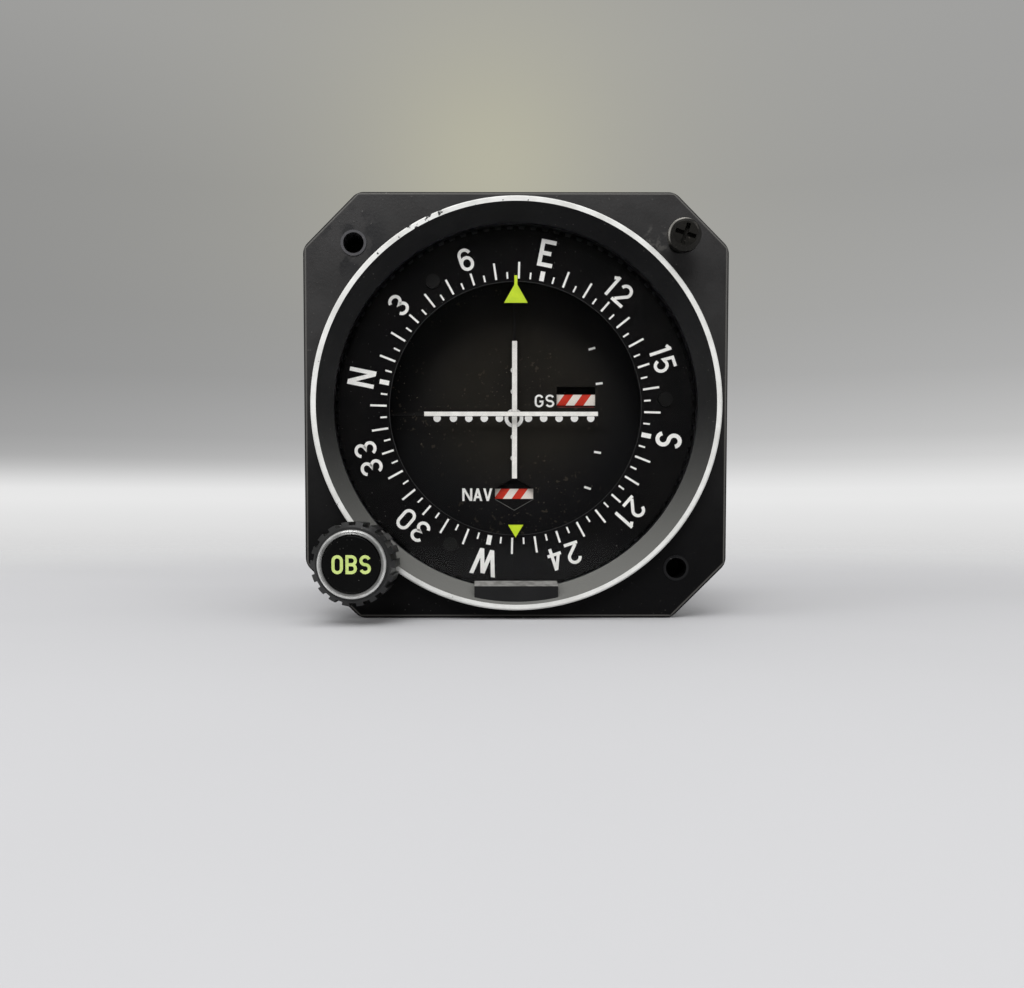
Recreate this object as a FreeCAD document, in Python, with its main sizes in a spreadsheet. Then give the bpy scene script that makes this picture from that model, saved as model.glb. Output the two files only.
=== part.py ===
import FreeCAD, Part
import os
import re
import Sketcher

# Course deviation indicator for a light aircraft panel, in millimetres.
# The origin is on the instrument's axis in the plane of the panel's front face.
# X points to the pilot's right, Y runs into the panel and Z points up.

SIZES = {
    # Face plate and collar
    "flange_side": 82.55,
    "flange_corner": 10.6,
    "flange_thick": 4.2,
    "flange_round": 3.0,
    "flange_bevel": 0.5,
    "hole_pitch": 62.87,
    "hole_radius": 1.98,
    "hole_lip": 0.5,
    "hole_lip_height": 0.2,
    "collar_radius": 39.4,
    "collar_height": 3.8,
    "collar_bevel": 0.25,
    "rim_width": 1.03,
    "lens_setback": 4.5,
    "lens_thick": 1.6,
    "bezel_wall": 2.0,
    "lens_ledge": 1.8,
    "seat_gap": 0.05,
    "retainer_width": 1.65,
    "retainer_thick": 1.5,
    "skirt_wall": 1.1,
    "skirt_reach": 14.8,
    "shoulder_step": 0.45,
    "shoulder_reach": 6.5,
    # Bare plate in the lower lip of the funnel
    "name_plate_width": 16.2,
    "name_plate_inset": 0.8,
    "name_plate_rise": 0.8,
    "name_plate_slope": 0.8,
    "name_plate_lens_gap": 0.1,
    # Fixed marks on the inner face of the glass
    "mark_thick": 0.2,
    "course_mark_base": 20.5,
    "course_mark_half": 2.3,
    "course_mark_neck": 24.0,
    "course_mark_tip": 25.8,
    "course_mark_stem": 0.3,
    "reciprocal_mark_base": 23.0,
    "reciprocal_mark_half": 1.5,
    "reciprocal_mark_tip": 25.5,
    # Compass card and its drum
    "card_gap": 0.4,
    "card_margin": 2.2,
    "card_band": 10.2,
    "card_thick": 0.8,
    "card_screw_inset": 4.9,
    "card_screw_first": 3.7,
    "card_screw_head": 1.4,
    "card_screw_height": 0.35,
    "drum_hole_step": 1.0,
    "drum_margin": 1.85,
    "drum_wall": 0.65,
    "drum_reach": 12.0,
    "bearing_gap": 0.3,
    "bearing_length": 5.1,
    # Gears between the knob and the card
    "knob_offset": 2.975,
    "card_teeth": 96,
    "knob_teeth": 17,
    "card_gear_width": 1.8,
    "card_gear_turn": 135.0,
    "tooth_lean": 18.4,
    "tooth_foot": 1.25,
    "tooth_space": 1.875,
    "pinion_pocket_gap": 0.22,
    "pinion_pocket_wall": 1.05,
    "pinion_cover_gap": 1.2,
    "pinion_cover_thick": 1.0,
    "gear_air": 0.3,
    # Course knob
    "knob_radius": 7.7,
    "knob_gap": 4.8,
    "knob_length": 12.0,
    "knob_bevel": 1.0,
    "knob_flutes": 18,
    "flute_width": 1.25,
    "flute_depth": 0.65,
    "trim_ring_radius": 6.23,
    "trim_ring_width": 0.9,
    "trim_ring_height": 1.0,
    "cap_height": 1.1,
    "cap_gap": 0.06,
    "knob_shaft_radius": 1.59,
    "knob_shaft_grip": 8.0,
    "set_screw_radius": 1.0,
    "set_screw_length": 4.5,
    "set_screw_back": 3.0,
    "bushing_radius": 2.4,
    "bushing_flange_thick": 1.0,
    # Mounting screw left in the upper right hole
    "screw_head_radius": 3.12,
    "screw_head_height": 2.4,
    "screw_head_round": 0.8,
    "screw_head_front": 11.5,
    "screw_shank_radius": 1.75,
    "screw_reach": 6.0,
    "screw_turn": 18.0,
    "cross_half": 2.0,
    "cross_arm": 0.4,
    "cross_depth": 1.3,
    # Dial plate with its two windows
    "dial_setback": 10.0,
    "dial_lap": 3.0,
    "dial_thick": 1.0,
    "gs_window_left": 8.8,
    "gs_window_right": 16.9,
    "gs_window_low": 1.45,
    "gs_window_high": 5.64,
    "nav_window_up": -16.6,
    "nav_window_half": 4.0,
    "nav_window_side": 1.1,
    "nav_window_apex": 3.4,
    "dial_post_flats": 3.0,
    "dial_post_inset": 3.0,
    # Deviation and glide slope needles
    "cdi_plane": 8.0,
    "pivot_gap": 2.0,
    "gs_plane": 6.0,
    "gs_pivot_up": -0.4,
    "needle_thick": 0.4,
    "cdi_shoulder": 14.7,
    "cdi_tip": 13.5,
    "cdi_width": 1.12,
    "gs_shoulder": 18.5,
    "gs_tip": 17.0,
    "gs_width": 0.95,
    "needle_arm_width": 0.5,
    "needle_tail_width": 1.0,
    "needle_tail": 3.2,
    "needle_hub": 1.6,
    "needle_shaft_radius": 0.6,
    "shaft_front_reach": 0.4,
    "counterweight_side": 2.2,
    "counterweight_length": 2.0,
    "counterweight_near": 1.25,
    "shaft_gap": 0.05,
    "fixing_gap": 0.02,
    # Warning flags
    "flag_setback": 11.5,
    "flag_thick": 0.3,
    "flag_hub": 1.6,
    "flag_shaft_radius": 0.6,
    "flag_shaft_front": 0.4,
    "nav_pivot_inset": 6.0,
    "nav_pivot_drop": 2.4,
    "nav_flag_right": 4.5,
    "nav_flag_left": 4.8,
    "nav_flag_angle": 40.0,
    "nav_flag_turn": -173.8,
    "nav_flag_arm": 1.0,
    "gs_flag_pivot_up": 3.0,
    "gs_flag_right": 17.4,
    "gs_flag_left": 8.3,
    "gs_flag_half": 1.12,
    "gs_flag_arm": 0.6,
    # Frame, meter movements and lamps
    "plate_thick": 1.5,
    "plate_gap": 0.3,
    "needle_movement_radius": 6.9,
    "needle_movement_length": 12.0,
    "flag_movement_radius": 5.2,
    "flag_movement_length": 10.0,
    "standoff_flats": 4.4,
    "standoff_inset": 4.6,
    "standoff_bore": 1.45,
    "lamp_gap": 2.5,
    "lamp_radius": 1.2,
    "lamp_length": 2.6,
    "lamp_holder_side": 3.4,
    "lamp_holder_length": 1.6,
    # Circuit board
    "board_front": 76.0,
    "board_thick": 1.6,
    "board_margin": 2.1,
    "chip_length": 16.0,
    "chip_width": 7.0,
    "chip_height": 3.5,
    "chip_row_up": 16.0,
    "chip_row_down": 17.0,
    "capacitor_radius": 4.5,
    "capacitor_height": 9.0,
    "capacitor_side": 25.0,
    # Case and rear cover
    "case_wall": 0.8,
    "case_rear": 96.0,
    "cover_thick": 2.0,
    "cover_bevel": 0.6,
    "cover_screw_head": 2.6,
    "cover_screw_height": 1.7,
    "cover_screw_radius": 1.4,
    "cover_screw_grip": 4.0,
    # Rear connector
    "connector_flange_wide": 53.0,
    "connector_flange_high": 12.5,
    "connector_flange_thick": 0.8,
    "connector_wide": 38.3,
    "connector_high": 7.9,
    "connector_slant": 1.4,
    "connector_wall": 0.5,
    "connector_reach": 6.0,
    "insulator_inside": 8.0,
    "contact_pitch": 2.76,
    "contact_row": 1.42,
    "contact_side": 1.0,
    "contact_depth": 3.0,
    "jack_pitch": 47.04,
    "jack_flats": 4.8,
    "jack_length": 5.2,
    "jack_shank": 1.5,
    "jack_grip": 4.0,
}

# Places along the axis, each worked out from the one before it
RIM_FRONT = "-(flange_thick + collar_height)"
LENS_FRONT = f"({RIM_FRONT} + lens_setback)"
LENS_REAR = f"({LENS_FRONT} + lens_thick)"
RETAINER_REAR = f"({LENS_REAR} + retainer_thick)"
CARD_FACE = f"({RETAINER_REAR} + card_gap)"
CARD_REAR = f"({CARD_FACE} + card_thick)"
CARD_GEAR_REAR = f"({CARD_REAR} + card_gear_width)"
BEARING_FRONT = f"({CARD_GEAR_REAR} + bearing_gap)"
DRUM_REAR = f"({CARD_FACE} + drum_reach)"
DIAL_FACE = f"({CARD_FACE} + dial_setback)"
DIAL_REAR = f"({DIAL_FACE} + dial_thick)"
FLAG_FACE = f"({CARD_FACE} + flag_setback)"
CDI_FACE = f"({CARD_FACE} + cdi_plane)"
GS_FACE = f"({CARD_FACE} + gs_plane)"
PLATE_REAR = "(skirt_reach + plate_thick)"
BOARD_REAR = "(board_front + board_thick)"
COVER_REAR = "(case_rear + cover_thick)"
SHELL_SEAT = f"({COVER_REAR} + connector_flange_thick)"
SHELL_END = f"({SHELL_SEAT} + connector_reach)"
POCKET_FRONT = f"({CARD_REAR} - gear_air)"
POCKET_REAR = f"({CARD_GEAR_REAR} + pinion_cover_gap)"
KNOB_REAR = "-(flange_thick + knob_gap)"
KNOB_FRONT = f"({KNOB_REAR} - knob_length)"
SCREW_FRONT = "-screw_head_front"

# Radii and places across the face, all worked out from the collar's radius
FUNNEL_RIM = "(collar_radius - rim_width)"
BORE_RADIUS = "(collar_radius - bezel_wall)"
FUNNEL_MOUTH = f"({BORE_RADIUS} - lens_ledge)"
SKIRT_RADIUS = f"({BORE_RADIUS} + skirt_wall)"
SEATED_RADIUS = f"({BORE_RADIUS} - seat_gap)"
SHOULDER_RADIUS = "(collar_radius - shoulder_step)"
CASE_BORE = "(collar_radius - case_wall)"
CARD_RADIUS = f"({BORE_RADIUS} - card_margin)"
CARD_HOLE = f"({CARD_RADIUS} - card_band)"
CARD_SCREW_CIRCLE = f"({CARD_HOLE} + card_screw_inset)"
DRUM_HOLE = f"({CARD_HOLE} + drum_hole_step)"
DRUM_RADIUS = f"({BORE_RADIUS} - drum_margin)"
DRUM_BORE = f"({DRUM_RADIUS} - drum_wall)"
DIAL_RADIUS = f"({CARD_HOLE} + dial_lap)"
DIAL_POST_CIRCLE = f"({DIAL_RADIUS} - dial_post_inset)"
PIVOT = f"({DIAL_RADIUS} + pivot_gap)"
NAV_PIVOT = f"({DIAL_RADIUS} - nav_pivot_inset)"
NAV_PIVOT_UP = "(nav_window_up - nav_pivot_drop)"
LAMP_CIRCLE = f"({DIAL_RADIUS} + lamp_gap)"
STANDOFF_CIRCLE = f"({CASE_BORE} - standoff_inset)"
GEAR_MODULE = "(2 * (collar_radius + knob_offset) / (card_teeth + knob_teeth))"
KNOB_PITCH = f"({GEAR_MODULE} * knob_teeth / 2)"
KNOB_PLACE = "(-(collar_radius + knob_offset) * sqrt(0.5))"
POCKET_RADIUS = f"({KNOB_PITCH} + {GEAR_MODULE} + pinion_pocket_gap)"
BOSS_RADIUS = f"({POCKET_RADIUS} + pinion_pocket_wall)"
BUSHING_FLANGE = "(knob_offset - seat_gap)"
CAP_RADIUS = "(trim_ring_radius - trim_ring_width - cap_gap)"

STANDOFF_ANGLES = (45, 135, 285)
LAMP_ANGLES = (40, 140)
DIAL_POST_ANGLES = (60, 120, 240)
CARD_SCREW_ANGLES = (0, -119.6, 119.4)

document = FreeCAD.newDocument("CourseDeviationIndicator")
sheet = document.addObject("Spreadsheet::Sheet", "Sizes")
for row, (alias, value) in enumerate(SIZES.items(), start=1):
    sheet.set(f"A{row}", alias.replace("_", " "))
    sheet.set(f"B{row}", str(value))
    sheet.setAlias(f"B{row}", alias)
document.recompute()

NODES = []
SIZE_NAME = re.compile(r"[a-z][a-z_]+")


def tie(text):
    """Turn size names in an expression into cells of the sheet."""
    def cell(found):
        word = found.group(0)
        return f"Sizes.{word}" if word in SIZES else word
    return SIZE_NAME.sub(cell, text)


def origin_plane(body, role):
    for feature in body.Origin.OriginFeatures:
        if feature.Role == role:
            return feature
    raise ValueError(f"{body.Label} has no {role}")


def new_body(name, across="0", up="0", turned="0"):
    """Start a sub-part whose own axis stands at a place on the face."""
    body = document.addObject("PartDesign::Body", name)
    body.Label = name
    body.AllowCompound = True
    body.Placement = FreeCAD.Placement(
        FreeCAD.Vector(0, 0, 0), FreeCAD.Rotation(FreeCAD.Vector(0, 1, 0), 1))
    body.setExpression("Placement.Rotation.Angle", tie(turned))
    body.setExpression("Placement.Base.x", tie(across))
    body.setExpression("Placement.Base.z", tie(up))
    NODES.append(body)
    return body


def new_sketch(body, role="XZ_Plane", offset="0"):
    sketch = body.newObject("Sketcher::SketchObject", f"{body.Label}_sketch")
    sketch.AttachmentSupport = [(origin_plane(body, role), "")]
    sketch.MapMode = "FlatFace"
    sketch.setExpression("AttachmentOffset.Base.z", tie(offset))
    return sketch


def pin(sketch, kind, *where):
    """Add one driven dimension; the last argument is its expression."""
    *places, text = where
    index = sketch.addConstraint(Sketcher.Constraint(kind, *places, 1.0))
    sketch.setExpression(f"Constraints[{index}]", tie(text))


def draw_outline(sketch, corners):
    """Draw a closed outline whose corners are pairs of expressions."""
    first = sketch.GeometryCount
    count = len(corners)
    circle = [FreeCAD.Vector(1, 0, 0)]
    for number in range(1, count):
        turn = FreeCAD.Rotation(FreeCAD.Vector(0, 0, 1), 360 * number / count)
        circle.append(turn.multVec(circle[0]))
    for number in range(count):
        edge = Part.LineSegment(circle[number], circle[(number + 1) % count])
        sketch.addGeometry(edge, False)
    for number in range(count):
        following = first + (number + 1) % count
        sketch.addConstraint(Sketcher.Constraint("Coincident", first + number, 2, following, 1))
    for number, (across, up) in enumerate(corners):
        pin(sketch, "DistanceX", -1, 1, first + number, 1, across)
        pin(sketch, "DistanceY", -1, 1, first + number, 1, up)


def draw_circle(sketch, radius, across="0", up="0"):
    number = sketch.GeometryCount
    circle = Part.Circle(FreeCAD.Vector(1, 1, 0), FreeCAD.Vector(0, 0, 1), 1)
    sketch.addGeometry(circle, False)
    pin(sketch, "Radius", number, radius)
    pin(sketch, "DistanceX", -1, 1, number, 3, across)
    pin(sketch, "DistanceY", -1, 1, number, 3, up)


def add_feature(body, kind, sketch):
    feature = body.newObject(kind, f"{body.Label}_feature")
    feature.Profile = sketch
    feature.Refine = True
    return feature


def add_pad(body, start, end, circles=(), outlines=()):
    """Add the space between two planes across the axis."""
    sketch = new_sketch(body, offset=f"-({start})")
    for circle in circles:
        draw_circle(sketch, *circle)
    for outline in outlines:
        draw_outline(sketch, outline)
    pad = add_feature(body, "PartDesign::Pad", sketch)
    pad.Reversed = True
    pad.setExpression("Length", tie(f"({end}) - ({start})"))
    document.recompute()
    return pad


def check_cut(body, before):
    document.recompute()
    if body.Shape.Volume >= before - 1e-6:
        raise ValueError(f"a cut in {body.Label} takes nothing away")


def add_pocket(body, start, end, circles=(), outlines=()):
    """Take away the space between two planes across the axis."""
    before = body.Shape.Volume
    sketch = new_sketch(body, offset=f"-({start})")
    for circle in circles:
        draw_circle(sketch, *circle)
    for outline in outlines:
        draw_outline(sketch, outline)
    pocket = add_feature(body, "PartDesign::Pocket", sketch)
    pocket.setExpression("Length", tie(f"({end}) - ({start})"))
    check_cut(body, before)
    return pocket


def add_turning(body, profile, angle=None):
    """Turn a profile of radius and place about the body's own axis."""
    sketch = new_sketch(body, "XY_Plane")
    draw_outline(sketch, profile)
    turning = add_feature(body, "PartDesign::Revolution", sketch)
    turning.ReferenceAxis = (sketch, ["V_Axis"])
    turning.Angle = 360
    if angle:
        turning.Midplane = True
        turning.setExpression("Angle", tie(angle))
    document.recompute()
    return turning


def add_groove(body, profile):
    before = body.Shape.Volume
    sketch = new_sketch(body, "XY_Plane")
    draw_outline(sketch, profile)
    groove = add_feature(body, "PartDesign::Groove", sketch)
    groove.ReferenceAxis = (sketch, ["V_Axis"])
    groove.Angle = 360
    check_cut(body, before)
    return groove


def repeat_round(body, feature, count):
    """Repeat a feature evenly about the body's own axis."""
    sketch = feature.Profile[0]
    pattern = body.newObject("PartDesign::PolarPattern", f"{body.Label}_pattern")
    pattern.Originals = [feature]
    pattern.Axis = (sketch, ["N_Axis"])
    pattern.Angle = 360
    pattern.setExpression("Occurrences", tie(count))
    pattern.Refine = True
    body.Tip = pattern
    document.recompute()
    return pattern


def edges_along(shape, test):
    return [f"Edge{number}" for number, edge in enumerate(shape.Edges, start=1) if test(edge)]


def dress_edges(body, kind, size_name, size, base, edges):
    feature = body.newObject(kind, f"{body.Label}_edge")
    feature.Base = (base, edges)
    feature.setExpression(size_name, tie(size))
    document.recompute()
    return feature


def turned_part(name, profile, across="0", up="0"):
    body = new_body(name, across, up)
    add_turning(body, profile)
    return body


def tube(name, outer, inner, start, end, across="0", up="0"):
    profile = [(inner, start), (outer, start), (outer, end), (inner, end)]
    return turned_part(name, profile, across, up)


def around(radius, angle):
    """Give the place at an angle on a circle about the instrument's axis."""
    return f"({radius}) * cos(({angle}) * 1deg)", f"({radius}) * sin(({angle}) * 1deg)"


def round_row(radius, circle, angles):
    return [(radius, *around(circle, angle)) for angle in angles]


def rectangle(left, low, right, high):
    return [(left, low), (right, low), (right, high), (left, high)]


def square(side, across="0", up="0"):
    half = f"{side} / 2"
    return rectangle(f"{across} - {half}", f"{up} - {half}", f"{across} + {half}", f"{up} + {half}")


def hexagon(flats, across="0", up="0"):
    corners = []
    for number in range(6):
        side, rise = around(f"{flats} / 2 / cos(30deg)", 60 * number + 30)
        corners.append((f"{across} + {side}", f"{up} + {rise}"))
    return corners


def gear_wheel(name, teeth, bore, start, end, turned, across="0", up="0"):
    """Make a spur gear with one tooth that points up before it is turned."""
    body = new_body(name, across, up, f"{turned} + 180 / {teeth}")
    pitch = f"({GEAR_MODULE} * {teeth} / 2)"
    root = f"({pitch} - tooth_foot * {GEAR_MODULE})"
    mouth = f"({pitch} + 2 * {GEAR_MODULE})"
    add_pad(body, start, end, [(f"{pitch} + {GEAR_MODULE}",), (bore,)])
    lean = f"tan((tooth_lean + 180 / {teeth}) * 1deg)"
    half = f"tooth_space * {GEAR_MODULE} / 2"
    narrow = f"({half} - tooth_foot * {GEAR_MODULE} * {lean})"
    wide = f"({half} + 2 * {GEAR_MODULE} * {lean})"
    space = [(f"-{narrow}", root), (narrow, root), (wide, mouth), (f"-{wide}", mouth)]
    repeat_round(body, add_pocket(body, start, end, outlines=[space]), teeth)
    return body


def make_bezel():
    """Face plate, collar, funnel, skirt and gear pocket in one casting."""
    body = new_body("bezel")
    half = "(flange_side / 2)"
    short = "(flange_side / 2 - flange_corner)"
    octagon = [(f"-{short}", f"-{half}"), (short, f"-{half}"), (half, f"-{short}"), (half, short),
               (short, half), (f"-{short}", half), (f"-{half}", short), (f"-{half}", f"-{short}")]
    flange = add_pad(body, "-flange_thick", "0", outlines=[octagon])
    corners = edges_along(flange.Shape, lambda edge: edge.BoundBox.YLength > SIZES["flange_thick"] / 2)
    rounded = dress_edges(body, "PartDesign::Fillet", "Radius", "flange_round", flange, corners)
    front = edges_along(rounded.Shape, lambda edge: edge.BoundBox.YMax < -SIZES["flange_thick"] / 2)
    dress_edges(body, "PartDesign::Chamfer", "Size", "flange_bevel", rounded, front)
    collar_corner = f"({RIM_FRONT} + collar_bevel)"
    add_turning(body, [("0", RIM_FRONT), ("collar_radius - collar_bevel", RIM_FRONT),
                       ("collar_radius", collar_corner), ("collar_radius", "-flange_thick / 2"),
                       ("0", "-flange_thick / 2")])
    add_turning(body, [("0", "-flange_thick / 2"), (SHOULDER_RADIUS, "-flange_thick / 2"),
                       (SHOULDER_RADIUS, "shoulder_reach"), (SKIRT_RADIUS, "shoulder_reach"),
                       (SKIRT_RADIUS, "skirt_reach"), ("0", "skirt_reach")])
    add_pad(body, "-flange_thick / 2", POCKET_REAR, [(BOSS_RADIUS, KNOB_PLACE, KNOB_PLACE)])
    lip = "hole_radius + hole_lip"
    left, right = "-hole_pitch / 2", "hole_pitch / 2"
    add_pad(body, "-(flange_thick + hole_lip_height)", "-flange_thick / 2",
            [(lip, left, right), (lip, right, left)])
    add_groove(body, [("0", RIM_FRONT), (FUNNEL_RIM, RIM_FRONT), (FUNNEL_MOUTH, LENS_FRONT),
                      (BORE_RADIUS, LENS_FRONT), (BORE_RADIUS, "skirt_reach"),
                      ("0", "skirt_reach")])
    add_pocket(body, RIM_FRONT, "screw_reach",
               [("hole_radius", left, right), ("hole_radius", right, left),
                ("hole_radius", right, right)])
    add_pocket(body, "-flange_thick", POCKET_REAR,
               [("bushing_radius + seat_gap", KNOB_PLACE, KNOB_PLACE)])
    add_pocket(body, POCKET_FRONT, POCKET_REAR, [(POCKET_RADIUS, KNOB_PLACE, KNOB_PLACE)])


def make_name_plate():
    """Bare plate whose underside follows the funnel."""
    body = new_body("name_plate")
    front = f"({RIM_FRONT} + name_plate_inset)"
    rear = f"({LENS_FRONT} - name_plate_lens_gap)"
    side = new_sketch(body, "YZ_Plane")
    top = f"({FUNNEL_MOUTH} - name_plate_rise)"
    draw_outline(side, [(front, "-collar_radius"), (front, f"-{top}"),
                        (rear, f"-({top} - name_plate_slope)"), (rear, "-collar_radius")])
    pad = add_feature(body, "PartDesign::Pad", side)
    pad.Midplane = True
    pad.setExpression("Length", tie("name_plate_width"))
    document.recompute()
    rim = f"({FUNNEL_RIM} - fixing_gap)"
    mouth = f"({FUNNEL_MOUTH} - fixing_gap)"
    add_groove(body, [(rim, RIM_FRONT), (mouth, LENS_FRONT), ("collar_radius * 2", LENS_FRONT),
                      ("collar_radius * 2", RIM_FRONT)])


def make_glass():
    """Lens, the ring that holds it and the two fixed marks."""
    tube_end = [("0", LENS_FRONT), (SEATED_RADIUS, LENS_FRONT), (SEATED_RADIUS, LENS_REAR),
                ("0", LENS_REAR)]
    turned_part("lens", tube_end)
    tube("lens_retainer", SEATED_RADIUS, f"({SEATED_RADIUS} - retainer_width)",
         LENS_REAR, RETAINER_REAR)
    marks = new_body("index_marks")
    stem, half = "course_mark_stem", "course_mark_half"
    course = [(f"-{half}", "course_mark_base"), (half, "course_mark_base"),
              (stem, "course_mark_neck"), (stem, "course_mark_tip"),
              (f"-{stem}", "course_mark_tip"), (f"-{stem}", "course_mark_neck")]
    reciprocal = [("reciprocal_mark_half", "-reciprocal_mark_base"),
                  ("-reciprocal_mark_half", "-reciprocal_mark_base"),
                  ("0", "-reciprocal_mark_tip")]
    add_pad(marks, LENS_REAR, f"{LENS_REAR} + mark_thick", outlines=[course, reciprocal])


def make_card():
    """Compass card on a drum that turns in a plain bearing ring."""
    card = new_body("compass_card")
    add_pad(card, CARD_FACE, CARD_REAR, [(CARD_RADIUS,), (CARD_HOLE,)])
    gear_wheel("card_gear", "card_teeth", DRUM_HOLE, CARD_REAR, CARD_GEAR_REAR, "-card_gear_turn")
    tube("card_drum", DRUM_RADIUS, DRUM_BORE, CARD_GEAR_REAR, DRUM_REAR)
    tube("card_bearing_ring", SEATED_RADIUS, f"({DRUM_RADIUS} + shaft_gap)", BEARING_FRONT,
         f"{BEARING_FRONT} + bearing_length")
    screws = new_body("card_screws", turned="-card_screw_first")
    add_pad(screws, f"{CARD_FACE} - card_screw_height", CARD_FACE,
            round_row("card_screw_head", CARD_SCREW_CIRCLE, CARD_SCREW_ANGLES))


def make_knob():
    """Course knob on its shaft, with the pinion that drives the card."""
    place = (KNOB_PLACE, KNOB_PLACE)
    grip = f"({KNOB_REAR} - knob_shaft_grip)"
    bore = "(knob_shaft_radius + fixing_gap)"
    knob = new_body("obs_knob", *place)
    add_turning(knob, [("0", KNOB_FRONT), ("(knob_radius - knob_bevel)", KNOB_FRONT),
                       ("knob_radius", f"({KNOB_FRONT} + knob_bevel)"), ("knob_radius", KNOB_REAR),
                       (bore, KNOB_REAR), (bore, grip), ("0", grip)])
    flute = rectangle("-flute_width / 2", "knob_radius - flute_depth",
                      "flute_width / 2", "knob_radius + flute_depth")
    cut = add_pocket(knob, KNOB_FRONT, KNOB_REAR, outlines=[flute])
    repeat_round(knob, cut, "knob_flutes")
    screw_side = new_sketch(knob, "XY_Plane")
    draw_circle(screw_side, "(set_screw_radius + fixing_gap)", "0", f"({KNOB_REAR} - set_screw_back)")
    before = knob.Shape.Volume
    hole = add_feature(knob, "PartDesign::Pocket", screw_side)
    hole.Reversed = True
    hole.setExpression("Length", tie("knob_radius"))
    check_cut(knob, before)
    tube("knob_trim_ring", "trim_ring_radius", "(trim_ring_radius - trim_ring_width)",
         f"({KNOB_FRONT} - trim_ring_height)", KNOB_FRONT, *place)
    cap_front = f"({KNOB_FRONT} - cap_height)"
    turned_part("knob_cap", [("0", cap_front), (f"({CAP_RADIUS} - collar_bevel)", cap_front),
                             (CAP_RADIUS, f"({cap_front} + collar_bevel)"),
                             (CAP_RADIUS, KNOB_FRONT), ("0", KNOB_FRONT)], *place)
    set_screw = new_body("knob_set_screw", *place)
    side = new_sketch(set_screw, "XY_Plane", f"{bore}")
    draw_circle(side, "set_screw_radius", "0", f"({KNOB_REAR} - set_screw_back)")
    screw = add_feature(set_screw, "PartDesign::Pad", side)
    screw.setExpression("Length", tie("set_screw_length"))
    document.recompute()
    turned_part("obs_shaft", [("0", grip), ("knob_shaft_radius", grip),
                              ("knob_shaft_radius", f"({POCKET_REAR} - gear_air)"),
                              ("0", f"({POCKET_REAR} - gear_air)")], *place)
    flange_front = "(-flange_thick - bushing_flange_thick)"
    hole_edge = "(knob_shaft_radius + shaft_gap)"
    turned_part("obs_bushing", [(hole_edge, flange_front), (BUSHING_FLANGE, flange_front),
                                (BUSHING_FLANGE, "-flange_thick"),
                                ("bushing_radius", "-flange_thick"),
                                ("bushing_radius", POCKET_FRONT), (hole_edge, POCKET_FRONT)], *place)
    gear_wheel("obs_pinion", "knob_teeth", bore, CARD_REAR, CARD_GEAR_REAR,
               "180 - card_gear_turn - 180 / knob_teeth", *place)
    cover = new_body("gear_cover", *place)
    cover_rear = f"({POCKET_REAR} + pinion_cover_thick)"
    add_pad(cover, POCKET_REAR, cover_rear, [(BOSS_RADIUS,)])
    add_pocket(cover, POCKET_REAR, cover_rear,
               [(f"({SHOULDER_RADIUS} + seat_gap)", f"-{KNOB_PLACE}", f"-{KNOB_PLACE}")])


def make_mounting_screw():
    """Cross head screw that stands proud of the upper right hole."""
    body = new_body("mounting_screw", "hole_pitch / 2", "hole_pitch / 2", "screw_turn")
    under = f"({SCREW_FRONT} + screw_head_height)"
    tip = "(screw_reach - screw_shank_radius / 2)"
    add_turning(body, [("0", SCREW_FRONT), ("screw_head_radius - screw_head_round", SCREW_FRONT),
                       ("screw_head_radius", f"{SCREW_FRONT} + screw_head_round"),
                       ("screw_head_radius", under), ("screw_shank_radius", under),
                       ("screw_shank_radius", tip), ("screw_shank_radius / 2", "screw_reach"),
                       ("0", "screw_reach")])
    long, short = "cross_half", "cross_arm"
    cross = [(long, f"-{short}"), (long, short), (short, short), (short, long),
             (f"-{short}", long), (f"-{short}", short), (f"-{long}", short),
             (f"-{long}", f"-{short}"), (f"-{short}", f"-{short}"), (f"-{short}", f"-{long}"),
             (short, f"-{long}"), (short, f"-{short}")]
    add_pocket(body, SCREW_FRONT, f"{SCREW_FRONT} + cross_depth", outlines=[cross])


def make_dial():
    """Fixed dial plate with the glide slope and navigation flag windows."""
    dial = new_body("dial_plate")
    top, side = "nav_window_up + nav_window_apex", "nav_window_half"
    upper = "nav_window_up + nav_window_side"
    lower = "nav_window_up - nav_window_side"
    nav_window = [("0", top), (f"-{side}", upper), (f"-{side}", lower),
                  ("0", "nav_window_up - nav_window_apex"), (side, lower), (side, upper)]
    gs_window = rectangle("gs_window_left", "gs_window_low", "gs_window_right", "gs_window_high")
    add_pad(dial, DIAL_FACE, DIAL_REAR, [(DIAL_RADIUS,)], [nav_window, gs_window])
    posts = [hexagon("dial_post_flats", *around(DIAL_POST_CIRCLE, angle)) for angle in DIAL_POST_ANGLES]
    add_pad(new_body("dial_posts"), DIAL_REAR, "skirt_reach", outlines=posts)


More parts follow.
